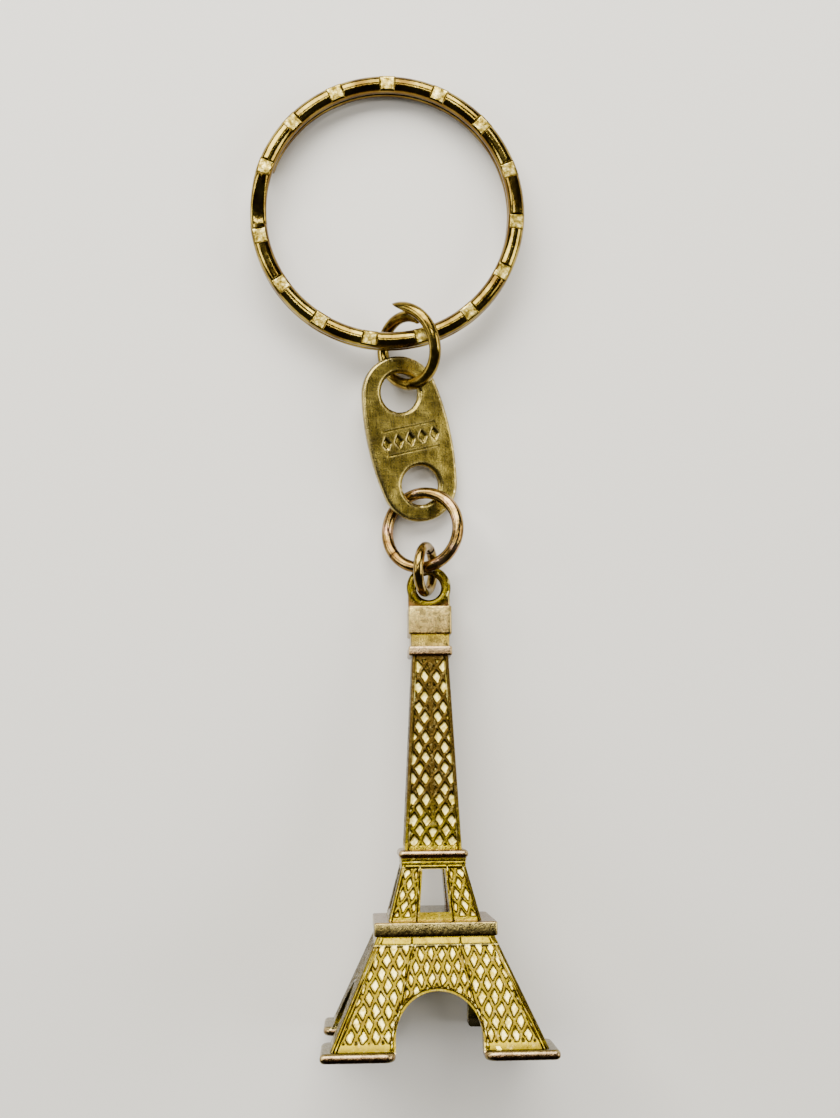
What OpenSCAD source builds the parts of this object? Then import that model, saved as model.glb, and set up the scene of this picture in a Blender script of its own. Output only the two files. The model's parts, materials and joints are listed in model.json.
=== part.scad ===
// Souvenir keychain: a split key ring, a linking ring, a stamped tab, two jump rings and a
// small cast lattice tower. It lies on its back on a table. +Z is up, +Y runs along the chain
// from the tower's feet to the key ring, and the origin is under the middle of the whole chain.

/* [Key ring] */
// Outside diameter of the split key ring
key_ring_d = 28; // [26:0.5:30]
// Width of the key ring's wire, measured across the ring
key_wire_w = 1.7; // [1.5:0.05:1.8]
// Height of one coil of the key ring
key_coil_h = 1.3; // [1.1:0.05:1.4]
// Gap between the two coils
coil_gap = 0.12; // [0.08:0.01:0.16]
// Angle over which the wire steps from the upper coil down to the lower one
step_angle = 26; // [22:1:30]
// Number of stamped notches along each coil
notches = 15; // [9:1:15]
// Length of one notch
notch_l = 1.6; // [1:0.1:2]
// Depth of one notch
notch_d = 0.28; // [0.15:0.01:0.35]

/* [Jump rings] */
// Wire diameter of the linking ring and of the middle ring
wire_d = 1.2; // [1.1:0.05:1.25]
// Outside diameter of the linking ring, between the key ring and the tab
link_d = 9; // [8.8:0.1:9.2]
// Outside diameter of the middle ring, between the tab and the small ring
middle_d = 9; // [8.8:0.1:9.1]
// Outside diameter of the small ring on the tower's eye
small_d = 5.7; // [5.6:0.05:5.8]
// Wire diameter of the small ring
small_wire_d = 1.05; // [1:0.05:1.1]

/* [Tab] */
// Length of the stamped tab
tab_l = 17.2; // [16.8:0.1:17.4]
// Greatest width of the tab
tab_w = 9; // [8.7:0.1:9.2]
// Thickness of the tab
tab_t = 1; // [0.9:0.05:1.1]
// Diameter of each hole in the tab
tab_hole_d = 4; // [3.9:0.05:4.1]
// Distance between the two holes
tab_hole_gap = 9.7; // [9.5:0.1:9.8]

/* [Tower] */
// Half of the width of the tower across its feet
foot_half = 10.87; // [10.5:0.05:11]
// Width of one foot
foot_w = 6.85; // [6:0.05:7]
// Thickness of one foot
foot_t = 0.9; // [0.7:0.1:1.1]
// Height of the first platform's underside
deck_z = 10.5; // [10.3:0.1:10.7]
// Half of the width of the first platform
deck_half = 5.86; // [5.7:0.02:6]
// Height of the second platform's underside
bead_z = 17.6; // [17.4:0.1:17.8]
// Half of the width of the second platform
bead_half = 3.4; // [3.3:0.05:3.5]
// Height of the top block's underside
cap_z = 39.65; // [39.4:0.05:39.8]
// Height of the top block
cap_h = 2.95; // [2.8:0.05:3]
// Half of the width of the top block
cap_half = 2.2; // [2.1:0.05:2.3]
// Radius of the arch between two legs
arch_r = 4; // [3.8:0.1:4.1]
// Thickness of the cast walls
wall = 1.6; // [1.4:0.1:1.8]

/* [Hidden] */
$fn = 48;
over = 0.4;                 // how far a cutting shape passes a face
bond = 0.3;                 // how far joined shapes run into each other

// Where each piece lies: the middle of each ring and of the tab, and the middle of the tower's feet
key_pos = [-0.65, 35.12];
link_pos = [1.3, 21.53];
tab_pos = [1.52, 12.13];
middle_pos = [2.95, 2.81];
small_pos = [3.3, -1.2];
tower_pos = [3.7, -46.98];

// How each piece leans
key_rise = 3.6;             // the key ring's near side rests on the linking ring
link_roll = 42.4;           // the linking ring's right side is up
link_pitch = 8.1;
link_yaw = 1.6;
link_spread = 4;            // how far each half of the linking ring is sprung open
tab_lean = 13.7;            // the tab turns to the left
tab_roll = 15.9;            // its left side is up
tab_pitch = 2.8;
middle_roll = 25.2;         // the middle ring's right side is up
middle_pitch = -11.8;       // the middle ring's tower end is up, on the eye
small_roll = -68;           // the small ring's left side is up
tower_tilt = 11.15;         // the tower lies on its back feet, with its top just off the table
tower_lean = 0.11;

// Heights above the table
link_z = 3.17;
tab_z = 1.49;
middle_z = 2.55;
small_z = 2.7;

// Key ring wire
key_r = (key_ring_d - key_wire_w) / 2;
coil_mid = coil_gap / 2 + key_coil_h / 2;
notch_pitch = 23.5;         // degrees from one notch to the next
first_notch = 160.5;        // the notch nearest the coil's end
step_at = 173;              // the middle of the stretch where the wire changes coil
step_wire_d = 1.15;
step_tilt = asin(coil_mid / (key_r * sin(step_angle / 2)));
step_bite = 2;              // degrees that the step runs into each coil
crown_z = coil_gap / 2 + key_coil_h;
key_z = key_r * sin(key_rise) + crown_z * cos(key_rise);

// Linking ring halves
link_r = (link_d - wire_d) / 2;
link_rear_r = link_r - 0.45;
link_front_end = 98;
link_rear_end = 62;

// Middle and small rings
middle_r = (middle_d - wire_d) / 2;
small_r = (small_d - small_wire_d) / 2;
middle_seam = 223;
small_seam = 66;
seam_angle = 0.8;
small_seam_angle = 7;

// Tab outline: two end arcs of radius end_r joined by side arcs that touch them
end_r = tab_w / 2 - 0.45;
end_c = tab_l / 2 - end_r;
edge_r = 0.3;
rim_r = 0.25;
mark_d = 0.18;
marks = 5;

// Tower stations
leg_base_half = 10.05;
leg_top_half = 5.6;
deck_h = 1.3;
stage_base_half = 4.5;
stage_top_half = 3.07;
stage_top_z = 17;
bead_h = 0.8;
shaft_base_half = 2.82;
shaft_top_half = 1.82;
collar_z = 37.5;
collar_h = 1.1;
collar_half = 2.2;
neck_half = 1.95;
cap_top = cap_z + cap_h;
arch_z = 1.8;
hollow_top_z = 8.6;
hollow_base_half = leg_base_half - wall;
hollow_top_half = 4.4;
window_z = 12.6;
window_h = 4;
window_base_w = 2.9;
window_top_w = 2.2;
eye_r = 1.78;
eye_wire_d = 1;
eye_z = 44.7;
eye_neck_w = 3.9;

// One coil's cross-section: flat where the coils face each other, crowned outside
module coil_section() {
    translate([key_r, coil_gap / 2])
        intersection() {
            translate([0, key_coil_h - key_wire_w / 2]) circle(d = key_wire_w);
            translate([-key_wire_w, 0]) square([2 * key_wire_w, 2 * key_coil_h]);
        }
}

// One coil, open where the wire steps to the other one, with its stamped notches
module coil() {
    difference() {
        rotate_extrude(angle = 360 - step_angle, start = step_at + step_angle / 2) coil_section();
        for (i = [0:notches - 1])
            rotate([0, 0, first_notch - i * notch_pitch])
                translate([key_r - key_wire_w, -notch_l / 2, crown_z - notch_d])
                    cube([2 * key_wire_w, notch_l, key_coil_h]);
    }
}

module key_ring() {
    color("#8a7440")
        translate([key_pos.x, key_pos.y, key_z])
            rotate([-key_rise, 0, 0]) {
                coil();
                mirror([0, 0, 1]) coil();
                rotate([0, 0, step_at])
                    rotate([-step_tilt, 0, 0])
                        rotate_extrude(angle = step_angle + 2 * step_bite, start = -step_angle / 2 - step_bite)
                            translate([key_r, 0]) circle(d = step_wire_d);
            }
}

// An arc of round wire, from angle a to angle b about its own middle
module wire_arc(r, d, a, b) {
    rotate_extrude(angle = b - a, start = a) translate([r, 0]) circle(d = d);
}

// Sprung open sideways: the front half passes over the rear half's end
module linking_ring() {
    color("#8f7438")
        translate([link_pos.x, link_pos.y, link_z])
            rotate([link_pitch, -link_roll, link_yaw])
                translate([0, -link_r, 0]) {
                    rotate([link_spread, 0, 0])
                        translate([0, link_r, 0]) wire_arc(link_r, wire_d, -90, link_front_end);
                    rotate([-link_spread, 0, 0])
                        translate([0, link_rear_r, 0]) wire_arc(link_rear_r, wire_d, link_rear_end, 270);
                }
}

// Half of the tab's outline, from one end to the other, set in by i all round
function side_r(i) = (pow(tab_w / 2 - i, 2) + end_c * end_c - pow(end_r - i, 2)) / (tab_w - 2 * end_r);
function join_a(i) = atan2(end_c, side_r(i) - tab_w / 2 + i);
function half_outline(i) = concat(
    [for (s = [0:6]) let (a = -90 + s * (90 - join_a(i)) / 6)
        [(end_r - i) * cos(a), -end_c + (end_r - i) * sin(a)]],
    [for (s = [1:7]) let (a = -join_a(i) + s * join_a(i) / 4)
        [tab_w / 2 - i - side_r(i) * (1 - cos(a)), side_r(i) * sin(a)]],
    [for (s = [0:6]) let (a = join_a(i) + s * (90 - join_a(i)) / 6)
        [(end_r - i) * cos(a), end_c + (end_r - i) * sin(a)]]);

module tab_outline(i) {
    right = half_outline(i);
    left = [for (k = [len(right) - 2:-1:1]) [-right[k].x, right[k].y]];
    polygon(concat(right, left));
}

module tab() {
    color("#a08a45")
        translate([tab_pos.x, tab_pos.y, tab_z])
            rotate([tab_pitch, tab_roll, tab_lean])
                difference() {
                    hull() {
                        linear_extrude(height = tab_t) tab_outline(edge_r);
                        translate([0, 0, edge_r]) linear_extrude(height = tab_t - 2 * edge_r) tab_outline(0);
                    }
                    for (side = [-1, 1])
                        translate([0, side * tab_hole_gap / 2, 0]) {
                            translate([0, 0, -over]) cylinder(d = tab_hole_d, h = tab_t + 2 * over);
                            translate([0, 0, tab_t - rim_r])
                                cylinder(d1 = tab_hole_d, d2 = tab_hole_d + 4 * rim_r, h = 2 * rim_r);
                            translate([0, 0, -rim_r])
                                cylinder(d1 = tab_hole_d + 4 * rim_r, d2 = tab_hole_d, h = 2 * rim_r);
                        }
                    for (i = [0:marks - 1])
                        translate([(i - (marks - 1) / 2) * 1.3, 0, tab_t - mark_d])
                            rotate([0, 0, 45]) cube([0.75, 0.75, 1]);
                }
}

module middle_ring() {
    color("#94703f")
        translate([middle_pos.x, middle_pos.y, middle_z])
            rotate([middle_pitch, -middle_roll, 0])
                wire_arc(middle_r, wire_d, middle_seam, middle_seam + 360 - seam_angle);
}

module small_ring() {
    color("#8c6c3c")
        translate([small_pos.x, small_pos.y, small_z])
            rotate([0, -small_roll, 0])
                wire_arc(small_r, small_wire_d, small_seam, small_seam + 360 - small_seam_angle);
}

// A square block that narrows upwards, from half width a to half width b
module taper(a, b, h) {
    rotate([0, 0, 45]) cylinder(r1 = a * sqrt(2), r2 = b * sqrt(2), h = h, $fn = 4);
}

module block(half, z, h) {
    translate([-half, -half, z]) cube([2 * half, 2 * half, h]);
}

// The arch between two legs, cut straight through from side to side
module arch_cut() {
    rotate([90, 0, 0]) {
        translate([0, arch_z, 0]) cylinder(r = arch_r, h = 3 * foot_half, center = true);
        translate([-arch_r, -over, -1.5 * foot_half]) cube([2 * arch_r, arch_z + over, 3 * foot_half]);
    }
}

module window_cut() {
    rotate([90, 0, 0])
        linear_extrude(height = 3 * deck_half, center = true)
            polygon([[-window_base_w / 2, window_z], [window_base_w / 2, window_z],
                [window_top_w / 2, window_z + window_h], [-window_top_w / 2, window_z + window_h]]);
}

module eye() {
    translate([0, 0, eye_z]) rotate([90, 0, 0]) rotate_extrude() translate([eye_r, 0]) circle(d = eye_wire_d);
    translate([-eye_neck_w / 2, -eye_wire_d / 2, cap_top - bond])
        cube([eye_neck_w, eye_wire_d, eye_z - eye_r + bond / 2 - cap_top]);
}

module tower() {
    color("#cdb04a")
        translate([tower_pos.x, tower_pos.y, foot_half * cos(tower_tilt) + foot_t * sin(tower_tilt)])
            rotate([0, 0, tower_lean])
                rotate([-90 - tower_tilt, 0, 0])
                    difference() {
                        union() {
                            for (x = [-1, 1], y = [-1, 1])
                                translate([x * (foot_half - foot_w / 2), y * (foot_half - foot_w / 2), foot_t / 2])
                                    cube([foot_w, foot_w, foot_t], center = true);
                            translate([0, 0, foot_t]) taper(leg_base_half, leg_top_half, deck_z - foot_t);
                            block(deck_half, deck_z, deck_h);
                            translate([0, 0, deck_z + deck_h])
                                taper(stage_base_half, stage_top_half, stage_top_z - deck_z - deck_h);
                            block(stage_top_half + 0.12, stage_top_z, bead_z - stage_top_z);
                            block(bead_half, bead_z, bead_h);
                            translate([0, 0, bead_z + bead_h])
                                taper(shaft_base_half, shaft_top_half, collar_z - bead_z - bead_h);
                            block(collar_half, collar_z, collar_h);
                            block(neck_half, collar_z + collar_h, cap_z - collar_z - collar_h);
                            block(cap_half, cap_z, cap_h);
                            eye();
                        }
                        for (a = [0, 90]) rotate([0, 0, a]) {
                            arch_cut();
                            window_cut();
                        }
                        translate([0, 0, -over]) taper(hollow_base_half + over / 2, hollow_top_half, hollow_top_z + over);
                    }
}

key_ring();
linking_ring();
tab();
middle_ring();
small_ring();
tower();
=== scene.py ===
"""Looks for the souvenir keychain: meshes, materials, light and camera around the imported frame."""
import json
import math

import bmesh
import bpy
import numpy as np
from mathutils import Matrix, Vector, noise


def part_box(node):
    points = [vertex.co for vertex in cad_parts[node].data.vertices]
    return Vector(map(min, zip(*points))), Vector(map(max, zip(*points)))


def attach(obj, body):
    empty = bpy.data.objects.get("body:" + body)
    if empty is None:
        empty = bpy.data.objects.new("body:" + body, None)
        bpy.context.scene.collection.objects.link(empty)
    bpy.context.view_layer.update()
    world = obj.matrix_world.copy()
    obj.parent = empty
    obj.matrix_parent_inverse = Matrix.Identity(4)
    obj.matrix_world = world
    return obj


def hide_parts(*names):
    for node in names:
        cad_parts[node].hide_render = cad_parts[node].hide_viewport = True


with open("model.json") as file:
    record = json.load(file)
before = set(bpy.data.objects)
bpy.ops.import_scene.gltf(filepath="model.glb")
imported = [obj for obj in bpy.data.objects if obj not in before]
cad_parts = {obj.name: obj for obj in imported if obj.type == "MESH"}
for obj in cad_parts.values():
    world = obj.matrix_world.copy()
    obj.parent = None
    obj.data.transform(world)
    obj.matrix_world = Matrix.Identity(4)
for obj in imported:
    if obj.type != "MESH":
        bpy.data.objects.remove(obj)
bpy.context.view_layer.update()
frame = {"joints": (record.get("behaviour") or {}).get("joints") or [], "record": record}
record = frame["record"]
MM = 0.001

# ---------------------------------------------------------------- sizes, in millimetres and degrees

KEY = dict(r=13.15, width=1.7, height=1.3, gap=0.12, step_at=173.0, step=26.0)
NOTCH = dict(count=15, first=160.5, pitch=23.5, length=1.6, depth=0.26, line=0.07, dent=0.03)
WIRE_R = 0.6
WIRE_COLS = 28  # points round a jump ring's wire
SMALL_WIRE_R = 0.525
LINK = dict(r=3.9, rear_r=3.45, spread=4.0, front_end=98.0, rear_end=62.0, tip_rows=20,
            shear=(0.62, -0.78))
MIDDLE = dict(r=3.9, seam=223.0, open=0.8)
SMALL = dict(r=2.325, seam=66.0, open=7.0)
TAB = dict(length=17.2, width=9.0, thick=1.0, hole_r=2.0, gap=9.7, end_r=4.05)
MARKS = dict(count=5, pitch=1.32, bar_at=1.25)
FOOT = dict(half=10.87, width=6.85, thick=0.9, edge=0.38, arch_corner=0.9, corner=0.4)
EYE = dict(r=1.78, z=44.7, wire=1.0, web_r=1.5)

# How each piece leans in the frame: the turns about X, then Y, then Z
LEAN = {
    "key_ring": (-3.6, 0, 0),
    "linking_ring": (8.1, -42.4, 1.6),
    "tab": (2.8, 15.9, 13.7),
    "middle_ring": (-11.8, -25.2, 0),
    "small_ring": (0, 68.0, 0),
    "tower": (-101.15, 0, 0.11),
}


def mm(point):
    return np.array(point, float) / MM


def box_middle(node):
    low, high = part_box(node)
    return (mm(low) + mm(high)) / 2


def joint_place(name):
    return mm(next(j["pos_m"] for j in frame["joints"] if j["name"] == name))


def turn(node):
    """The rotation matrix that lays a piece down as the frame has it."""
    x, y, z = (math.radians(a) for a in LEAN[node])
    m = Matrix.Rotation(z, 3, "Z") @ Matrix.Rotation(y, 3, "Y") @ Matrix.Rotation(x, 3, "X")
    return np.array(m)


def place(points, node, origin):
    """Points in a piece's own millimetres, moved to the frame in metres."""
    return (np.asarray(points, float) @ turn(node).T + np.asarray(origin)) * MM


# ---------------------------------------------------------------- mesh tools


def smooth(t):
    t = np.clip(t, 0, 1)
    return t * t * (3 - 2 * t)


def grain(points, scale, seed):
    """Smooth noise from -1 to 1 at each point; scale is in waves per unit."""
    off = Vector((seed * 13.7, seed * 7.3, seed * 3.1))
    return np.array([noise.noise(Vector(p) * scale + off) for p in points])


def new_object(name, verts, faces):
    """A smooth-shaded mesh with every face turned outwards."""
    mesh = bpy.data.meshes.new(name)
    mesh.from_pydata([tuple(v) for v in verts], [], [tuple(int(i) for i in f) for f in faces])
    bm = bmesh.new()
    bm.from_mesh(mesh)
    bmesh.ops.recalc_face_normals(bm, faces=bm.faces)
    bm.to_mesh(mesh)
    bm.free()
    mesh.shade_smooth()
    obj = bpy.data.objects.new(name, mesh)
    bpy.context.scene.collection.objects.link(obj)
    return obj


def loft_faces(rows, cols):
    """Quads between rows of points that each go round a closed loop, with both ends closed."""
    faces = []
    for r in range(rows - 1):
        for c in range(cols):
            d = (c + 1) % cols
            faces.append((r * cols + c, r * cols + d, (r + 1) * cols + d, (r + 1) * cols + c))
    faces.append(tuple(range(cols))[::-1])
    faces.append(tuple((rows - 1) * cols + c for c in range(cols)))
    return faces


def loft(name, rows):
    return new_object(name, np.concatenate(rows), loft_faces(len(rows), len(rows[0])))


def vertex_array(obj):
    co = np.zeros(len(obj.data.vertices) * 3, np.float32)
    obj.data.vertices.foreach_get("co", co)
    return co.reshape(-1, 3).astype(float)


def set_vertices(obj, co):
    obj.data.vertices.foreach_set("co", np.asarray(co, np.float32).ravel())
    obj.data.update()


def store(obj, name, values):
    """Keeps one number, or one colour, for each vertex."""
    values = np.asarray(values, np.float32)
    kind, key = ("FLOAT", "value") if values.ndim == 1 else ("FLOAT_COLOR", "color")
    layer = obj.data.attributes.new(name, kind, "POINT")
    layer.data.foreach_set(key, values.ravel())


def evaluated(obj):
    """Applies an object's modifiers."""
    deps = bpy.context.evaluated_depsgraph_get()
    mesh = bpy.data.meshes.new_from_object(obj.evaluated_get(deps))
    old = obj.data
    obj.modifiers.clear()
    obj.data = mesh
    bpy.data.meshes.remove(old)


def combine(target, tool, operation):
    """A boolean of two closed meshes. The tool is used up."""
    mod = target.modifiers.new("boolean", "BOOLEAN")
    mod.operation = operation
    mod.solver = "MANIFOLD"
    mod.object = tool
    evaluated(target)
    mesh = tool.data
    bpy.data.objects.remove(tool)
    bpy.data.meshes.remove(mesh)


def finish_mesh(obj, name, sharp):
    obj.name = obj.data.name = name
    obj.data.shade_smooth()
    obj.data.set_sharp_from_angle(angle=math.radians(sharp))


# ---------------------------------------------------------------- wire rings

END_CAPS = ((0.55, 1.0), (0.86, 0.55))  # each end cap ring's size and how far out it stands


def tube(path, side, up, section, dome=0.1):
    """Rows of points along a wire whose ends are domed. section holds points along side and up."""
    along = np.cross(up, side)
    rings = path[:, None] + section[..., :1] * side[:, None] + section[..., 1:] * up[:, None]
    first, last = ([path[k] + (rings[k] - path[k]) * s + sign * along[k] * dome * out
                    for s, out in END_CAPS] for k, sign in ((0, -1), (-1, 1)))
    return [*first, *rings, *last[::-1]]


def row_values(values, cols):
    """One value per vertex of a tube from one value per point of its path or per section point."""
    values = np.asarray(values, float)
    if values.ndim == 1:
        values = np.repeat(values[:, None], cols, axis=1)
    return np.concatenate([values[:1], values[:1], values, values[-1:], values[-1:]]).ravel()


def round_section(rows, cols, radius):
    a = np.linspace(0, 2 * math.pi, cols, endpoint=False)
    ring = np.column_stack([np.cos(a), np.sin(a)])
    return np.repeat(ring[None], rows, axis=0) * radius


def wire_ring(name, sizes, wire_r, node, origin, rows):
    """A bent wire ring of slightly uneven thickness, dark where its cut ends meet."""
    a = np.radians(np.linspace(sizes["seam"], sizes["seam"] + 360 - sizes["open"], rows))
    side = np.column_stack([np.cos(a), np.sin(a), 0 * a])
    up = np.tile([0.0, 0.0, 1.0], (rows, 1))
    uneven = 1 - 0.01 * (1 + np.sin(a * 5 + 1)) * (1 + np.sin(a * 2)) / 2
    section = round_section(rows, WIRE_COLS, wire_r) * uneven[:, None, None]
    ring = loft(name, [place(r, node, origin) for r in tube(side * sizes["r"], side, up, section, 0.03)])
    steps = np.arange(rows)
    store(ring, "line", row_values(np.exp(-np.minimum(steps, rows - 1 - steps) / 1.2), WIRE_COLS))
    finish_mesh(ring, name, 50)
    return ring


def make_middle_ring():
    middle = (joint_place("middle_ring_swing") + joint_place("tab_swing")) / 2
    return wire_ring("middle_ring_wire", MIDDLE, WIRE_R, "middle_ring", middle, 220)


def make_small_ring():
    return wire_ring("small_ring_wire", SMALL, SMALL_WIRE_R, "small_ring", box_middle("small_ring"), 160)


def half_path(r, start, stop, tilt, rows):
    """An arc that touches the ring's bottom point, swung about it by tilt."""
    a = np.radians(np.linspace(start, stop, rows))
    side = np.column_stack([np.cos(a), np.sin(a), 0 * a])
    path = side * r + [0, r, 0]
    t = math.radians(tilt)
    rot = np.array([[1, 0, 0], [0, math.cos(t), -math.sin(t)], [0, math.sin(t), math.cos(t)]])
    up = np.tile(rot @ [0, 0, 1.0], (rows, 1))
    return path @ rot.T, side @ rot.T, up


def make_linking_ring():
    """Sprung open: the front half passes over the rear half's blunt end and is sheared to a point."""
    rear = half_path(LINK["rear_r"], LINK["rear_end"], 270, -LINK["spread"], 110)
    front = half_path(LINK["r"], -90, LINK["front_end"], LINK["spread"], 110)
    path, side, up = (np.concatenate([a[:-1], b]) for a, b in zip(rear, front))
    for _ in range(6):  # eases the twist where the halves meet
        up[1:-1] = (up[:-2] + up[1:-1] * 2 + up[2:]) / 4
    up /= np.linalg.norm(up, axis=1)[:, None]
    rows = np.array(tube(path, side, up, round_section(len(path), WIRE_COLS, WIRE_R)))
    tip, outward = path[-1], side[-1]
    along = np.cross(up[-1], outward)
    cut = along * LINK["shear"][0] + outward * LINK["shear"][1]
    cut /= np.linalg.norm(cut)
    end = rows[-LINK["tip_rows"]:]
    past = np.maximum((end - tip - outward * WIRE_R) @ cut, 0)
    rows[-LINK["tip_rows"]:] = end - past[..., None] * along / (cut @ along)
    bottom = joint_place("linking_ring_swing")
    ring = loft("linking_ring_wire", [place(r, "linking_ring", bottom) for r in rows])
    store(ring, "line", np.zeros(len(ring.data.vertices)))
    finish_mesh(ring, "linking_ring_wire", 45)
    return ring


# ---------------------------------------------------------------- key ring


def coil_section(cols=34):
    """Points round one coil: flat at height 0 and crowned at the coil's height."""
    r = KEY["width"] / 2
    drop = KEY["height"] - r
    low = math.degrees(math.asin(drop / r))
    a = np.radians(np.linspace(-low, 180 + low, cols - 8))
    arc = np.column_stack([r * np.cos(a), np.maximum(drop + r * np.sin(a), 0)])
    flat = np.linspace(arc[-1, 0], arc[0, 0], 10)[1:-1]
    return np.concatenate([arc, np.column_stack([flat, np.zeros(8)])])


def key_angles(first, last):
    """Angles along the wire, closer together at the ends of each notch."""
    per_mm = math.degrees(1 / KEY["r"])
    near = np.unique(np.concatenate([np.linspace(-2.6, 2.6, 26), np.linspace(-1.0, -0.6, 13),
                                     np.linspace(0.6, 1.0, 13), np.linspace(-0.6, 0.6, 13)])) * per_mm
    middles = [NOTCH["first"] + 360 * lap - i * NOTCH["pitch"]
               for i in range(NOTCH["count"]) for lap in (1, 2)]
    angles = np.concatenate([m + near for m in middles] + [np.arange(first, last, 1.0)])
    angles = np.unique(np.round(angles, 3))
    angles = angles[(angles > first) & (angles < last)]
    dist = np.min([np.abs(angles - m) for m in middles], axis=0) / per_mm
    return np.radians(angles), dist


def key_middle():
    """The key ring's middle: the ring is tilted, and its low side's crown is on the table."""
    low, high = (mm(p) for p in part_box("key_ring"))
    rise = math.radians(-LEAN["key_ring"][0])
    crown = KEY["gap"] / 2 + KEY["height"]
    return np.array([(low[0] + high[0]) / 2, (low[1] + high[1]) / 2,
                     KEY["r"] * math.sin(rise) + crown * math.cos(rise)])


def notch_profile(side, dist):
    """How far each point is into a notch, the dark line at its ends, and the crown's height."""
    edge = dist - NOTCH["length"] / 2
    cut = 1 - smooth((edge + 0.05) / 0.09)
    line = np.exp(-((edge + 0.04) / 0.07) ** 2)
    dents = grain(side * KEY["r"], 1.6, 2.0)
    crown = KEY["gap"] / 2 + KEY["height"] - NOTCH["depth"] * cut
    crown -= NOTCH["line"] * line * (cut > 0.3) + NOTCH["dent"] * dents * cut
    return cut, line, crown


def turned_section(base, swap):
    """The section's points about its middle, turning over as swap goes from 0 to 1."""
    middle = KEY["height"] / 2
    phi = np.arctan2(base[:, 1] - middle, base[:, 0])
    reach = np.hypot(base[:, 1] - middle, base[:, 0])
    turned = np.interp(-phi, np.sort(phi), reach[np.argsort(phi)], period=2 * math.pi)
    reach = reach + (turned - reach) * swap[:, None]
    return reach * np.cos(phi), reach * np.sin(phi)


def make_key_ring():
    """One wire through both coils, with notches pressed into each coil's crown."""
    first = KEY["step_at"] + KEY["step"] / 2
    a, dist = key_angles(first, first + 720 - KEY["step"])
    side = np.column_stack([np.cos(a), np.sin(a), 0 * a])
    up = np.tile([0.0, 0.0, 1.0], (len(a), 1))
    swap = smooth((np.degrees(a) - first - 360 + KEY["step"]) / KEY["step"])
    base = coil_section()
    cut, line, crown = notch_profile(side, dist)
    # Each coil's crown faces away from the other coil; between them the wire turns over and drops
    across, rise = turned_section(base, swap)
    centre = (KEY["gap"] / 2 + KEY["height"] / 2) * (1 - 2 * swap)
    outwards = np.where(swap < 0.5, 1, -1)[:, None]
    height = (centre[:, None] + rise) * outwards
    depth = height - crown[:, None]
    height = np.minimum(height, crown[:, None])
    # The pressed metal spreads a little on both sides of a notch
    width = across * (1 + 0.05 * cut[:, None] * np.exp(-((height - 1.0) / 0.3) ** 2))
    section = np.stack([width, height * outwards], axis=-1)
    cols = len(base)
    middle = key_middle()
    rows = tube(side * KEY["r"], side, up, section)
    ring = loft("key_ring_wire", [place(row, "key_ring", middle) for row in rows])
    store(ring, "notch", row_values(np.clip(depth / 0.12, -1, 1), cols))
    # The sunk line at each notch's end, which the material darkens as painted shade.
    store(ring, "line", row_values(line[:, None] * smooth(depth / 0.06 + 1), cols))
    inner = smooth(-4 * base[:, 0] / KEY["width"] - 0.9)
    store(ring, "inner", row_values(np.repeat(inner[None], len(a), axis=0), cols))
    finish_mesh(ring, "key_ring_wire", 40)
    return ring


# ---------------------------------------------------------------- blocks with rounded edges

CORNER_SIGNS = ((1, -1), (1, 1), (-1, 1), (-1, -1))


def rounded_square(half_x, half_y, corners, per_side, per_corner):
    """Points anticlockwise round a rectangle, whose corner radii go in the order of the signs."""
    mids = [np.array([sx * (half_x - r), sy * (half_y - r)]) for (sx, sy), r in zip(CORNER_SIGNS, corners)]
    pts = []
    for k, start in enumerate((-90, 0, 90, 180)):
        out = np.array([math.cos(math.radians(start)), math.sin(math.radians(start))])
        p0, p1 = mids[k - 1] + out * corners[k - 1], mids[k] + out * corners[k]
        pts += [p0 + (p1 - p0) * t for t in np.linspace(0, 1, per_side, endpoint=False)]
        for t in np.radians(start + np.linspace(0, 90, per_corner, endpoint=False)):
            pts.append(mids[k] + np.array([math.cos(t), math.sin(t)]) * corners[k])
    return np.array(pts)


def edge_profile(z0, z1, r, steps=6):
    """Heights and insets of a block whose top and bottom edges are rounded to r."""
    quarter = [(r - r * math.cos(a), r - r * math.sin(a)) for a in np.linspace(0, math.pi / 2, steps)]
    return ([(z0, 2.2 * r)] + [(z0 + rise, inset) for rise, inset in quarter]
            + [(z1 - rise, inset) for rise, inset in quarter[::-1]] + [(z1, 2.2 * r)])


def plate(name, z0, z1, half_x, half_y, r, corners, at=(0, 0)):
    """A flat block: r rounds its top and bottom edges, corners its four upright ones."""
    rows = []
    for z, inset in edge_profile(z0, z1, r):
        rounding = [max(c - inset * 0.3, 0.05) for c in corners]
        ring = rounded_square(half_x - inset, half_y - inset, rounding, 14, 6)
        rows.append(np.column_stack([ring + np.array(at), np.full(len(ring), z)]))
    return loft(name, rows)


def square_plate(name, z0, z1, half, r, corner):
    return plate(name, z0, z1, half, half, r, (corner,) * 4)


# ---------------------------------------------------------------- tab


def tab_outline(inset, count=96):
    """The tab's oval: end arcs joined by bulging sides that touch them, set in all round."""
    w, end_r = TAB["width"] / 2 - inset, TAB["end_r"] - inset
    c = TAB["length"] / 2 - TAB["end_r"]
    side_r = (w * w + c * c - end_r * end_r) / (2 * (w - end_r))
    join = math.atan2(c, side_r - w)
    right = []
    for t in np.linspace(0, 1, count // 4, endpoint=False):
        a = -math.pi / 2 + t * (math.pi / 2 - join)
        right.append((end_r * math.cos(a), -c + end_r * math.sin(a)))
    for t in np.linspace(-1, 1, count // 2, endpoint=False):
        right.append((w - side_r * (1 - math.cos(t * join)), side_r * math.sin(t * join)))
    for t in np.linspace(0, 1, count // 4, endpoint=False):
        a = join + t * (math.pi / 2 - join)
        right.append((end_r * math.cos(a), c + end_r * math.sin(a)))
    right = np.array(right)
    return np.concatenate([right, -right])


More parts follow.
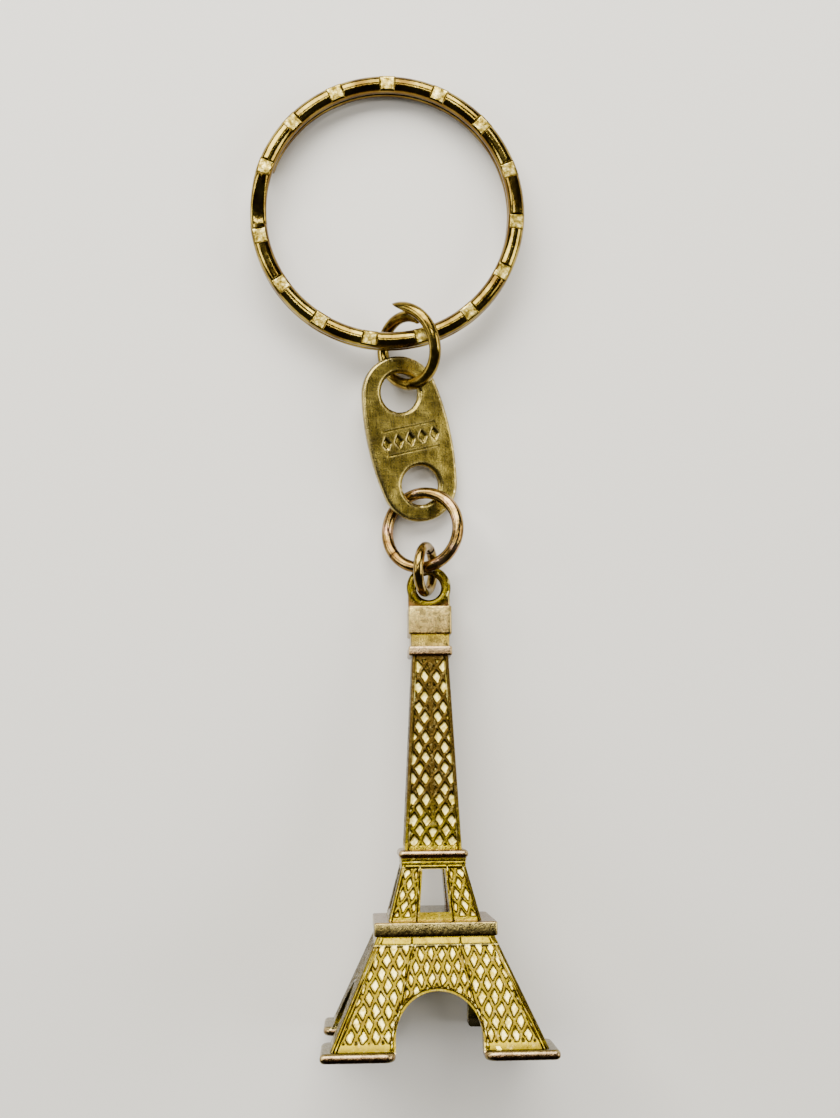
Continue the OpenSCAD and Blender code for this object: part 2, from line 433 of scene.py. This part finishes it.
def hole_cutter(profile, y, count=64):
    """A closed solid of revolution about a line at y; profile runs up its outside as (radius, z)."""
    a = np.linspace(0, 2 * math.pi, count, endpoint=False)
    return loft("hole", [np.column_stack([r * np.cos(a), r * np.sin(a) + y, np.full(count, z)])
                         for r, z in profile])


def lozenge_punch(x, half_x=0.5, half_y=0.82, depth=0.2):
    """A lozenge-shaped punch with sloping sides, cutting into the tab's top."""
    top = TAB["thick"]
    rows = []
    for z, s in ((top - depth, 0.72), (top - depth * 0.8, 0.8), (top + 0.3, 1.25)):
        sx, sy = half_x * s, half_y * s
        rows.append(np.array([(x + sx, 0, z), (x, sy, z), (x - sx, 0, z), (x, -sy, z)]))
    return loft("lozenge", rows)


def bar_punch(y, half_x=2.9, half_y=0.09, depth=0.12):
    """A long thin punch beside the lozenges."""
    top = TAB["thick"]
    rows = []
    for z, s in ((top - depth, 0.8), (top + 0.3, 1.3)):
        sx, sy = half_x - 0.05 + 0.05 * s, half_y * s
        rows.append(np.array([(-sx, y - sy, z), (sx, y - sy, z), (sx, y + sy, z), (-sx, y + sy, z)]))
    return loft("bar", rows)


def make_tab():
    """A stamped plate with rolled edges, two flared holes and a row of lozenges between two bars."""
    t, r = TAB["thick"], TAB["hole_r"]
    rings = [(tab_outline(inset), z) for z, inset in edge_profile(0, t, 0.3, 8)]
    body = loft("tab_plate", [np.column_stack([ring, np.full(len(ring), z)]) for ring, z in rings])
    flare = [(r + 0.6, -0.25), (r + 0.42, -0.05), (r + 0.3, 0.03), (r + 0.12, 0.13), (r + 0.03, 0.22),
             (r, 0.32)]
    profile = flare + [(a, t - z) for a, z in flare[::-1]]
    for s in (-1, 1):
        combine(body, hole_cutter(profile, s * TAB["gap"] / 2), "DIFFERENCE")
    for k in range(MARKS["count"]):
        combine(body, lozenge_punch((k - MARKS["count"] // 2) * MARKS["pitch"]), "DIFFERENCE")
    for y in (-MARKS["bar_at"], MARKS["bar_at"]):
        combine(body, bar_punch(y), "DIFFERENCE")
    mod = body.modifiers.new("remesh", "REMESH")
    mod.mode = "VOXEL"
    mod.voxel_size = 0.09
    soften = body.modifiers.new("soften", "SMOOTH")
    soften.factor = 0.5
    soften.iterations = 3
    evaluated(body)
    co = vertex_array(body)
    upper = smooth(co[:, 2] / t * 2 - 0.5)
    co[:, 2] += (grain(co, 0.35, 5.0) * 0.05 + grain(co, 1.3, 6.0) * 0.014 - 0.03) * upper
    origin = box_middle("tab") - turn("tab") @ np.array([0, 0, t / 2])
    set_vertices(body, place(co, "tab", origin))
    finish_mesh(body, "tab_plate", 60)
    return body


# ---------------------------------------------------------------- tower

# Each part tapers from base to top, which are half widths. Its relief has a plain border at each
# corner, below low and above high, and shows from bare up, where the part below it ends.
LEG = dict(z0=0.7, z1=10.45, base=10.05, top=5.6, border=0.62, low=1.46, high=9.8, bare=1.2)
STAGE = dict(z0=11.7, z1=17.1, base=4.5, top=3.07, border=0.34, low=12.15, high=16.6, bare=11.85)
SHAFT = dict(z0=18.2, z1=37.6, base=2.82, top=1.82, border=0.4, low=18.75, high=37.15, bare=18.45)
WINDOW = dict(z0=12.6, z1=16.6, base=1.45, top=1.1)
ARCH_R = 4.0
ARCH_Z = 1.8
BAR_DEPTH = 0.25
SLOPE = 0.13  # width of the slope from a bar's top to the ground beside it
GROOVE = 0.09  # how far past a bar's edge a sunk line counts as lying
LINE = 0.03  # half the width of a fine sunk line
PLAIN = -0.3  # the distance stored where there is no relief


def half_width(block, z):
    """Half the width of a tapered part at each height."""
    return block["base"] + (block["top"] - block["base"]) * (z - block["z0"]) / (block["z1"] - block["z0"])


def bars(p, q, pitch_p, pitch_q, half):
    """Distance outside crossing diagonal bars of the given half width; below 0 on a bar."""
    a = p / pitch_p + q / pitch_q
    b = p / pitch_p - q / pitch_q
    near = np.minimum(np.abs(a - np.round(a)), np.abs(b - np.round(b)))
    return near * pitch_p * pitch_q / math.hypot(pitch_p, pitch_q) - half


def joined(*distances):
    """The distance outside several raised things taken together."""
    return np.minimum.reduce(distances)


def groove(distance, middle, half):
    """Lets a narrow line sink into what stands up, and leaves the rest."""
    beyond = np.abs(middle) - half
    line = GROOVE * (1 - smooth(beyond / 0.05)) - 0.5 * (beyond > 0.05)
    return np.maximum(distance, line)


def wobble(x, z):
    """The casting's lattice wanders a little from straight lines."""
    return (x + 0.045 * np.sin(z * 2.3 + x) + 0.03 * np.sin(z * 5.1 + 2 * x + 1),
            z + 0.06 * np.sin(x * 2.9 + z * 0.7) + 0.03 * np.sin(x * 6.1 + 2))


def arch_distance(x, z):
    """Distance outside the arch between two legs; below 0 in the opening."""
    return np.where(z < ARCH_Z, np.abs(x), np.hypot(x, z - ARCH_Z)) - ARCH_R


def leg_relief(x, z):
    """Distance outside the raised lattice, borders and ridges of one face of the legs."""
    w = half_width(LEG, z)
    ax = np.abs(x)
    ridge = np.interp(z, [1.6, 4.65, 9.5], [4.4, 3.4, 2.3])
    u, v = wobble(x, z)
    lattice = np.where(ax > ridge, bars(u, v - 0.98, 1.16, 2.12, 0.115), bars(u, v - 8.9, 1.0, 2.12, 0.11))
    arch_rim = arch_distance(x, z) - 0.3
    border = w - LEG["border"] - ax
    d = joined(lattice, np.abs(ax - ridge) - 0.15, border, LEG["high"] - z, z - LEG["low"], arch_rim)
    d = groove(d, ax - ridge, LINE)
    d = groove(d, w - 0.30 - ax, 0.05)
    d = groove(d, border, LINE)
    d = groove(d, z - 9.7, 0.07)
    return groove(d, arch_rim, LINE)


def stage_relief(x, z):
    """The same for one face of the part between the platforms, with a frame round its window."""
    w = half_width(STAGE, z)
    ax = np.abs(x)
    window = half_width(WINDOW, z)
    u, v = wobble(w - ax - 0.2, z - 12.2)
    lattice = bars(u, v, 1.0, 2.0, 0.11)
    border = w - STAGE["border"] - ax
    d = joined(lattice, border, ax - window - 0.4, STAGE["high"] - z, z - STAGE["low"])
    d = groove(d, ax - window - 0.24, LINE)
    d = groove(d, w - 0.3 - ax, LINE)
    return groove(d, z - 16.75, LINE)


def shaft_relief(x, z):
    """The same for one face of the shaft, whose middle diamonds each hold a leaf."""
    w = half_width(SHAFT, z)
    ax = np.abs(x)
    q = z - 35.4
    u, v = wobble(x, q)
    lattice = bars(u, v, 1.26, 2.02, 0.12)
    row = (q / 2.02) % 1.0 - 0.5
    leaf_w = 0.26 * np.clip(1 - np.abs(row - 0.06) / 0.36, 0, 1) ** 0.7
    leaf = np.where(z > 20.5, ax - leaf_w, 1.0)
    border = w - SHAFT["border"] - ax
    d = joined(lattice, leaf, border, z - SHAFT["low"], SHAFT["high"] - z)
    return groove(d, border, LINE)


def relief_height(distance):
    """1 on top of a bar, 0 on the ground beside it."""
    return 1 - smooth(distance / SLOPE)


def relief_block(name, block, relief, per_side, rows, corner=0.22):
    """A tapered square block whose four faces carry a relief, closed at both ends."""
    rings = []
    for z in np.linspace(block["z0"], block["z1"], rows):
        w = half_width(block, z)
        ring = rounded_square(w, w, (corner,) * 4, per_side, 5)
        x, y = ring[:, 0], ring[:, 1]
        front = np.abs(y) >= np.abs(x)
        across = np.where(front, x, y)
        flatness = smooth((w - np.abs(across) - corner) / 0.08)
        depth = (1 - relief_height(relief(across, np.full(len(x), z)))) * BAR_DEPTH * flatness
        normal = np.column_stack([np.where(front, 0, np.sign(x)), np.where(front, np.sign(y), 0)])
        rings.append(np.column_stack([ring - normal * depth[:, None], np.full(len(x), z)]))
    return loft(name, rings)


def prism(name, outline, half_length, axis):
    """A closed prism along X or Y from an outline in (across, z)."""
    rows = [np.array([(u, s, z) if axis == "Y" else (s, u, z) for u, z in outline])
            for s in (-half_length, half_length)]
    return loft(name, rows)


def arch_outline():
    """The opening between two legs: upright sides below a half circle."""
    pts = [(-ARCH_R, -1.0), (ARCH_R, -1.0)]
    for a in np.linspace(0, math.pi, 49):
        pts.append((ARCH_R * math.cos(a), ARCH_Z + ARCH_R * math.sin(a)))
    return pts


def frustum(name, z0, z1, half0, half1):
    """A square block that tapers from half width half0 to half1."""
    ends = ((z0, half0), (z1, half1))
    return loft(name, [np.array([(-h, -h, z), (h, -h, z), (h, h, z), (-h, h, z)]) for z, h in ends])


def eye_loop():
    """The cast loop on top: a ring of squarish section."""
    b = np.linspace(0, 2 * math.pi, 28, endpoint=False)
    across, through = (np.sign(f) * np.abs(f) ** 0.82 * EYE["wire"] / 2
                       for f in (np.cos(b), np.sin(b)))
    rows, cols = 72, len(b)
    pts = []
    for t in np.linspace(0, 2 * math.pi, rows, endpoint=False):
        r = EYE["r"] + across
        pts.append(np.column_stack([r * math.cos(t), through, EYE["z"] + r * math.sin(t)]))
    faces = []
    for k in range(rows):
        for c in range(cols):
            n, d = (k + 1) % rows, (c + 1) % cols
            faces.append((k * cols + c, n * cols + c, n * cols + d, k * cols + d))
    return new_object("eye", np.concatenate(pts), faces)


def eye_shoulders():
    """The web under the loop: straight flanks down to the top block, open inside the loop."""
    web = plate("shoulders", 42.4, 44.75, 2.14, 0.42, 0.12, (0.16,) * 4)
    turns = np.linspace(0, 2 * math.pi, 48, endpoint=False)
    r = EYE["web_r"]
    hole = [(r * math.cos(a), EYE["z"] + r * math.sin(a)) for a in turns]
    combine(web, prism("hole", hole, 3, "Y"), "DIFFERENCE")
    return web


def add_feet(legs):
    """Four flat feet with pill-like edges, more rounded at the corners beside the arches."""
    half = FOOT["width"] / 2
    mid = FOOT["half"] - half
    for sx in (-1, 1):
        for sy in (-1, 1):
            corners = [FOOT["arch_corner"] if cx * cy * sx * sy < 0 else FOOT["corner"]
                       for cx, cy in CORNER_SIGNS]
            at = (sx * mid, sy * mid)
            foot = plate("foot", 0.0, FOOT["thick"], half, half, FOOT["edge"], corners, at)
            combine(legs, foot, "UNION")
    combine(legs, frustum("hollow", -0.6, 3.0, 8.75, 7.3), "DIFFERENCE")


def cast_tower():
    """The whole casting, standing on its feet. The arch and window cutters run right through."""
    legs = relief_block("legs", LEG, leg_relief, per_side=200, rows=116)
    for axis in ("Y", "X"):
        combine(legs, prism("arch", arch_outline(), 16, axis), "DIFFERENCE")
    combine(legs, frustum("hollow", -0.6, 8.6, 8.9, 4.3), "DIFFERENCE")
    add_feet(legs)
    stage = relief_block("stage", STAGE, stage_relief, per_side=100, rows=68)
    low, high = WINDOW["base"], WINDOW["top"]
    window = [(-low, WINDOW["z0"]), (low, WINDOW["z0"]), (high, WINDOW["z1"]), (-high, WINDOW["z1"])]
    for axis in ("Y", "X"):
        combine(stage, prism("window", window, 8, axis), "DIFFERENCE")
    pieces = [
        square_plate("deck", 10.5, 11.8, 5.86, 0.16, 0.25),
        square_plate("under_deck", 9.9, 10.7, 5.62, 0.12, 0.2),
        stage,
        square_plate("band_low", 16.95, 17.35, 3.16, 0.12, 0.2),
        square_plate("band_high", 17.3, 17.75, 3.2, 0.12, 0.2),
        square_plate("bead", 17.6, 18.42, 3.4, 0.38, 0.45),
        relief_block("shaft", SHAFT, shaft_relief, per_side=58, rows=220, corner=0.18),
        square_plate("collar", 37.5, 38.5, 2.2, 0.22, 0.25),
        square_plate("neck", 38.4, 39.85, 1.95, 0.1, 0.25),
        square_plate("cap", 39.65, 42.6, 2.2, 0.2, 0.3),
        eye_shoulders(),
        eye_loop(),
    ]
    for piece in pieces:
        combine(legs, piece, "UNION")
    return legs


def tower_origin():
    """Where the middle of the tower's base lies: its foot mount is on the foot at +X and -Y."""
    foot = next(m for m in record["mounts"] if m["name"] == "tower_foot_face")
    at = FOOT["half"] - FOOT["width"] / 2
    return mm(foot["pos_m"]) - turn("tower") @ np.array([at, -at, 0])


# Colours of the casting's metal
OLIVE = (0.10, 0.072, 0.002)
GOLD = (0.24, 0.175, 0.004)
YELLOW = (0.50, 0.37, 0.01)
PALE = (1.0, 0.86, 0.28)
CHAMPAGNE = (0.54, 0.43, 0.14)
SILVER_PINK = (0.48, 0.34, 0.18)
COPPER = (0.15, 0.065, 0.022)
BROWN = (0.055, 0.032, 0.005)
DARK = (0.03, 0.014, 0.004)

# What the casting looks like from its feet up: (height, colour on the outside)
# Painted shade: the DARK bands on the lower side of the feet, the deck, the bead and the collar. Painted
# highlight: the pale bands near the top of the feet (0.72), the deck (11.66) and the bead (18.2).
BANDS = [
    (-1, DARK), (0.25, DARK), (0.4, COPPER), (0.72, SILVER_PINK), (0.84, OLIVE), (1.0, OLIVE),
    (1.5, GOLD), (1.7, OLIVE), (9.8, OLIVE), (10.0, GOLD), (10.4, GOLD), (10.5, DARK),
    (10.75, BROWN), (11.56, BROWN), (11.66, CHAMPAGNE), (11.78, COPPER), (11.9, GOLD),
    (12.2, OLIVE), (16.5, OLIVE), (16.8, GOLD), (17.5, GOLD), (17.65, DARK), (17.95, COPPER),
    (18.2, SILVER_PINK), (18.4, COPPER), (18.5, YELLOW), (19.3, OLIVE), (21.0, OLIVE),
    (24.0, BROWN), (37.2, BROWN), (37.5, DARK), (37.65, COPPER), (37.9, SILVER_PINK),
    (38.4, SILVER_PINK), (38.6, YELLOW), (39.6, YELLOW), (39.75, COPPER), (40.0, CHAMPAGNE),
    (42.3, CHAMPAGNE), (42.6, COPPER), (42.8, OLIVE), (50, OLIVE),
]


def paint_tower(obj):
    """Stores each vertex's distance outside the raised relief and the colour its part has, with the painted
    shade and painted highlights of the bands.
    """
    co = vertex_array(obj)
    x, y, z = co.T
    front = np.abs(y) >= np.abs(x)
    across = np.where(front, x, y)
    out = np.maximum(np.abs(x), np.abs(y))
    heights, colours = zip(*BANDS)
    tint = np.column_stack([np.interp(z, heights, [c[k] for c in colours]) for k in range(3)])
    distance = np.full(len(co), PLAIN)
    for block, relief in ((LEG, leg_relief), (STAGE, stage_relief), (SHAFT, shaft_relief)):
        near = np.abs(out - half_width(block, z)) < BAR_DEPTH + 0.1
        skin = (z > block["bare"]) & (z < block["z1"]) & near
        distance = np.where(skin, np.maximum(relief(across, z), -0.2), distance)
    # The insides of the legs and the stage are pale, with a dark step round the stage's floor
    skin_at = np.where(z < 11, half_width(LEG, z), half_width(STAGE, z))
    inside = (z > 1.0) & (z < 17) & (out < skin_at - 0.5)
    tint = np.where(inside[:, None], np.array(YELLOW) * 0.8, tint)
    tint = np.where((inside & (z > 11.9) & (z < 12.75))[:, None], COPPER, tint)
    store(obj, "relief", np.clip(distance, -0.4, 0.4))
    store(obj, "tint", np.column_stack([tint, np.ones(len(co))]))


def make_tower():
    tower = cast_tower()
    paint_tower(tower)
    set_vertices(tower, place(vertex_array(tower), "tower", tower_origin()))
    finish_mesh(tower, "tower_casting", 48)
    return tower


# ---------------------------------------------------------------- materials


class Nodes:
    """Short names for building a material's nodes."""

    def __init__(self, name, metallic=1.0):
        self.material = bpy.data.materials.new(name)
        self.material.use_nodes = True
        self.tree = self.material.node_tree
        self.shader = next(n for n in self.tree.nodes if n.type == "BSDF_PRINCIPLED")
        self.shader.inputs["Metallic"].default_value = metallic
        self.coords = self.tree.nodes.new("ShaderNodeTexCoord").outputs["Object"]

    def link(self, a, b):
        self.tree.links.new(a, b)

    def stretch(self, scale, angle):
        n = self.tree.nodes.new("ShaderNodeMapping")
        self.link(self.coords, n.inputs["Vector"])
        n.inputs["Scale"].default_value = scale
        n.inputs["Rotation"].default_value = (0, 0, angle)
        return n.outputs["Vector"]

    def noise(self, scale, detail=4.0, roughness=0.55, vector=None):
        n = self.tree.nodes.new("ShaderNodeTexNoise")
        self.link(vector or self.coords, n.inputs["Vector"])
        n.inputs["Scale"].default_value = scale
        n.inputs["Detail"].default_value = detail
        n.inputs["Roughness"].default_value = roughness
        return n.outputs["Fac"]

    def voronoi(self, scale):
        n = self.tree.nodes.new("ShaderNodeTexVoronoi")
        self.link(self.coords, n.inputs["Vector"])
        n.inputs["Scale"].default_value = scale
        return n.outputs["Distance"]

    def ramp(self, fac, stops):
        n = self.tree.nodes.new("ShaderNodeValToRGB")
        self.link(fac, n.inputs["Fac"])
        els = n.color_ramp.elements
        while len(els) < len(stops):
            els.new(0.5)
        for e, (p, c) in zip(els, stops):
            e.position = p
            e.color = (c, c, c, 1) if isinstance(c, (int, float)) else (*c, 1)
        return n.outputs["Color"]

    def mix(self, fac, a, b):
        n = self.tree.nodes.new("ShaderNodeMix")
        n.data_type = "RGBA"
        self.link(fac, n.inputs["Factor"])
        for key, v in (("A", a), ("B", b)):
            sock = next(s for s in n.inputs if s.name == key and s.type == "RGBA")
            if isinstance(v, tuple):
                sock.default_value = (*v, 1)
            else:
                self.link(v, sock)
        return next(s for s in n.outputs if s.type == "RGBA")

    def times(self, a, b):
        n = self.tree.nodes.new("ShaderNodeMath")
        n.operation = "MULTIPLY"
        self.link(a, n.inputs[0])
        if isinstance(b, float):
            n.inputs[1].default_value = b
        else:
            self.link(b, n.inputs[1])
        return n.outputs[0]

    def spread(self, value, low, high):
        """A stored number, spread so that low becomes 0 and high becomes 1."""
        n = self.tree.nodes.new("ShaderNodeMapRange")
        self.link(value, n.inputs["Value"])
        n.inputs["From Min"].default_value = low
        n.inputs["From Max"].default_value = high
        return n.outputs["Result"]

    def stored(self, name, output="Fac"):
        n = self.tree.nodes.new("ShaderNodeAttribute")
        n.attribute_name = name
        return n.outputs[output]

    def pointiness(self):
        return self.tree.nodes.new("ShaderNodeNewGeometry").outputs["Pointiness"]

    def bump(self, height, strength, distance, normal=None):
        n = self.tree.nodes.new("ShaderNodeBump")
        n.inputs["Strength"].default_value = strength
        n.inputs["Distance"].default_value = distance
        self.link(height, n.inputs["Height"])
        if normal:
            self.link(normal, n.inputs["Normal"])
        return n.outputs["Normal"]

    def finish(self, colour, rough, normal):
        self.link(colour, self.shader.inputs["Base Color"])
        self.link(rough, self.shader.inputs["Roughness"])
        self.link(normal, self.shader.inputs["Normal"])
        return self.material


def plated_wire(m, tones, grain_mm):
    """Mottled plating between dark, middle and light tones."""
    mottled = m.noise(1 / (grain_mm * MM), 6.0, 0.6)
    colour = m.ramp(mottled, [(0.38, tones[0]), (0.5, tones[1]), (0.63, tones[2])])
    return m.mix(m.times(m.noise(9000, 3.0, 0.6), 0.35), colour, tones[0])


def worn_surface(m, pit=0.15, wave=0.2):
    """Fine pits and unevenness, as a bump."""
    b = m.bump(m.ramp(m.voronoi(3800), [(0.05, 0.0), (0.35, 1.0)]), pit, 0.00003)
    return m.bump(m.noise(3200, 5.0, 0.6), wave, 0.00003, b)


def wire_metal(name, tones, grain_mm, spots):
    """Plated wire: mottled tones, small pits, worn spots, and a dark line where the ends meet."""
    m = Nodes(name)
    colour = plated_wire(m, tones, grain_mm)
    where = m.ramp(m.noise(1 / (1.7 * MM), 3.0, 0.5), [(0.56, 0.0), (0.66, 1.0)])
    colour = m.mix(where, colour, spots)
    colour = m.mix(m.stored("line"), colour, DARK)
    roughness = m.ramp(m.noise(2500, 5.0, 0.65), [(0.3, 0.12), (0.7, 0.24)])
    return m.finish(colour, roughness, worn_surface(m))


def linking_ring_metal():
    tones = [(0.10, 0.06, 0.008), (0.22, 0.15, 0.024), (0.40, 0.29, 0.06)]
    return wire_metal("tarnished_brass_wire", tones, 1.6, (0.26, 0.18, 0.03))


def middle_ring_metal():
    tones = [(0.12, 0.062, 0.014), (0.25, 0.155, 0.042), (0.42, 0.29, 0.10)]
    return wire_metal("copper_brass_wire", tones, 1.8, (0.50, 0.30, 0.16))


def small_ring_metal():
    tones = [(0.12, 0.07, 0.014), (0.26, 0.18, 0.042), (0.46, 0.34, 0.12)]
    return wire_metal("worn_brass_wire", tones, 1.4, (0.55, 0.38, 0.22))


def key_ring_metal():
    """Dark antique plating, rubbed bright on the notch floors, with painted shade as a dark line at each
    notch's end.
    """
    m = Nodes("antique_brass_wire")
    colour = plated_wire(m, [(0.09, 0.052, 0.008), (0.20, 0.135, 0.022), (0.38, 0.28, 0.055)], 2.6)
    colour = m.mix(m.times(m.stored("inner"), 0.7), colour, (0.12, 0.06, 0.01))
    bright = m.ramp(m.noise(1700, 6.0, 0.75),
                    [(0.42, (0.12, 0.08, 0.01)), (0.52, (0.46, 0.34, 0.06)), (0.62, (0.95, 0.80, 0.32))])
    colour = m.mix(m.spread(m.stored("notch"), 0.0, 0.35), colour, bright)
    # Painted shade: the sunk line at each notch's end is darkened.
    colour = m.mix(m.times(m.stored("line"), 0.9), colour, DARK)
    rough = m.mix(m.spread(m.stored("notch"), 0.0, 0.35),
                  m.ramp(m.noise(2500, 5.0, 0.65), [(0.3, 0.08), (0.7, 0.18)]), (0.32, 0.32, 0.32))
    return m.finish(colour, rough, worn_surface(m, 0.12, 0.2))


def tab_metal():
    """Aged brass: clouded olive, with a painted highlight that turns its edges pale, painted shade that
    darkens the hollows, and crossing scratches.
    """
    m = Nodes("aged_brass_tab")
    colour = m.ramp(m.noise(520, 6.0, 0.6),
                    [(0.34, (0.08, 0.056, 0.007)), (0.5, (0.19, 0.14, 0.02)), (0.66, (0.36, 0.275, 0.055))])
    speck = m.ramp(m.noise(5200, 4.0, 0.7), [(0.45, 0.0), (0.62, 1.0)])
    colour = m.mix(m.times(speck, 0.2), colour, (0.40, 0.31, 0.08))
    # Painted highlight: the convex edges are turned pale.
    edges = m.ramp(m.pointiness(), [(0.50, 0.0), (0.57, 1.0)])
    colour = m.mix(m.times(edges, 0.7), colour, (0.86, 0.70, 0.30))
    # Painted shade: the hollows are darkened.
    colour = m.mix(m.times(m.ramp(m.pointiness(), [(0.44, 1.0), (0.495, 0.0)]), 0.9), colour, DARK)
    lines = m.times(m.noise(1200, 4.0, 0.65, m.stretch((0.35, 4.5, 1.0), 0.9)),
                    m.noise(1500, 4.0, 0.65, m.stretch((5.0, 0.4, 1.0), 0.3)))
    b = m.bump(lines, 0.2, 0.00003)
    b = m.bump(m.noise(4200, 5.0, 0.7), 0.4, 0.00004, b)
    return m.finish(colour, m.ramp(lines, [(0.15, 0.24), (0.35, 0.32)]), b)


def tower_metal():
    """Gilt casting: pale ground between darker bars whose fine dark edges are painted shade, with painted
    shade in the creases and a painted highlight on the plain parts' edges.
    """
    m = Nodes("gilt_casting")
    relief = m.spread(m.stored("relief"), -0.2, 0.2)
    cloud = m.noise(1300, 5.0, 0.65)
    ground = m.ramp(cloud, [(0.36, YELLOW), (0.52, PALE)])
    tint = m.stored("tint", "Color")
    tint = m.mix(m.ramp(cloud, [(0.38, 0.6), (0.52, 0.0)]), tint, BROWN)
    tint = m.mix(m.ramp(m.noise(2100, 5.0, 0.7), [(0.54, 0.0), (0.68, 0.25)]), tint, CHAMPAGNE)
    # 0.5 is the edge of a raised bar and 0.82 the foot of its slope
    colour = m.mix(m.ramp(relief, [(0.60, 0.0), (0.78, 1.0)]), tint, ground)
    # Painted shade: a fine dark brown band along each bar's edge and slope.
    edge = m.ramp(relief, [(0.46, 0.0), (0.56, 1.0), (0.64, 1.0), (0.76, 0.0)])
    colour = m.mix(m.times(edge, 0.8), colour, BROWN)
    plain = m.spread(m.stored("relief"), -0.22, PLAIN + 0.02)
    # Painted highlight: the convex edges of the plain parts are turned pale.
    plain_edge_highlight = m.times(m.times(m.ramp(m.pointiness(), [(0.53, 0.0), (0.60, 1.0)]), 0.5), plain)
    colour = m.mix(plain_edge_highlight, colour, PALE)
    # Painted shade: creases are darkened brown.
    colour = m.mix(m.times(m.ramp(m.pointiness(), [(0.38, 1.0), (0.46, 0.0)]), 0.7), colour, BROWN)
    rough = m.mix(m.ramp(relief, [(0.60, 0.0), (0.78, 1.0)]),
                  m.ramp(m.noise(2600, 5.0, 0.6), [(0.3, 0.18), (0.7, 0.32)]), (0.5, 0.5, 0.5))
    b = m.bump(m.noise(3300, 6.0, 0.7), 0.45, 0.00006)
    b = m.bump(m.ramp(m.voronoi(2600), [(0.08, 0.0), (0.4, 1.0)]), 0.25, 0.00004, b)
    return m.finish(colour, rough, b)


def finish_piece(obj, material, node):
    """Gives a piece its metal and slot, and puts it in the place of its CAD node."""
    obj.data.materials.clear()
    obj.data.materials.append(material)
    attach(obj, node)
    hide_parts(node)


# ---------------------------------------------------------------- the object

finish_piece(make_key_ring(), key_ring_metal(), "key_ring")
finish_piece(make_linking_ring(), linking_ring_metal(), "linking_ring")
finish_piece(make_tab(), tab_metal(), "tab")
finish_piece(make_middle_ring(), middle_ring_metal(), "middle_ring")
finish_piece(make_small_ring(), small_ring_metal(), "small_ring")
finish_piece(make_tower(), tower_metal(), "tower")

# ---------------------------------------------------------------- floor, light and camera


FLOOR_HALF = 1.2  # in metres
CAMERA_AT = Vector((-3.92, 3.01, 143.0))
CAMERA_AIM = Vector((2.83, -0.21, 0.0))


def make_floor():
    corners = [(x * FLOOR_HALF, y * FLOOR_HALF, 0) for x, y in ((-1, -1), (1, -1), (1, 1), (-1, 1))]
    floor = new_object("floor", corners, [(0, 1, 2, 3)])
    m = Nodes("pale_floor", 0.0)
    m.shader.inputs["Base Color"].default_value = (0.80, 0.77, 0.70, 1)
    m.shader.inputs["Roughness"].default_value = 0.75
    floor.data.materials.append(m.material)


def area_light(name, place_mm, size, power, colour):
    """A rectangular light aimed at the middle of the frame."""
    data = bpy.data.lights.new(name, "AREA")
    data.shape = "RECTANGLE"
    data.size, data.size_y = size[0] * MM, size[1] * MM
    data.energy = power
    data.color = colour
    obj = bpy.data.objects.new(name, data)
    bpy.context.scene.collection.objects.link(obj)
    at = Vector(place_mm) * MM
    obj.location = at
    obj.rotation_euler = (-at).to_track_quat("-Z", "Y").to_euler()


def add_world():
    """A dim even light from all round."""
    world = bpy.data.worlds.new("studio")
    world.use_nodes = True
    background = next(n for n in world.node_tree.nodes if n.type == "BACKGROUND")
    background.inputs["Color"].default_value = (0.86, 0.85, 0.82, 1)
    background.inputs["Strength"].default_value = 0.05
    bpy.context.scene.world = world


def add_camera():
    """Looks almost straight down, with the key ring at the top of the picture."""
    data = bpy.data.cameras.new("camera")
    data.sensor_fit = "VERTICAL"
    data.sensor_height = 36
    data.lens = 44.15
    data.clip_start = 0.005
    camera = bpy.data.objects.new("camera", data)
    bpy.context.scene.collection.objects.link(camera)
    camera.location = CAMERA_AT * MM
    backward = (CAMERA_AT - CAMERA_AIM).normalized()
    right = Vector((0, 1, 0)).cross(backward).normalized()
    camera.rotation_euler = Matrix((right, backward.cross(right), backward)).transposed().to_euler()
    bpy.context.scene.camera = camera


make_floor()
area_light("window", (-90, 360, 300), (560, 360), 7.5, (1.0, 0.985, 0.95))
area_light("right_fill", (430, 40, 260), (260, 260), 1.5, (1.0, 0.98, 0.95))
area_light("left_fill", (-430, 60, 240), (200, 200), 1.0, (0.97, 0.98, 1.0))
area_light("top_strip", (-30, 80, 390), (200, 24), 0.3, (1.0, 0.985, 0.95))

add_world()
add_camera()
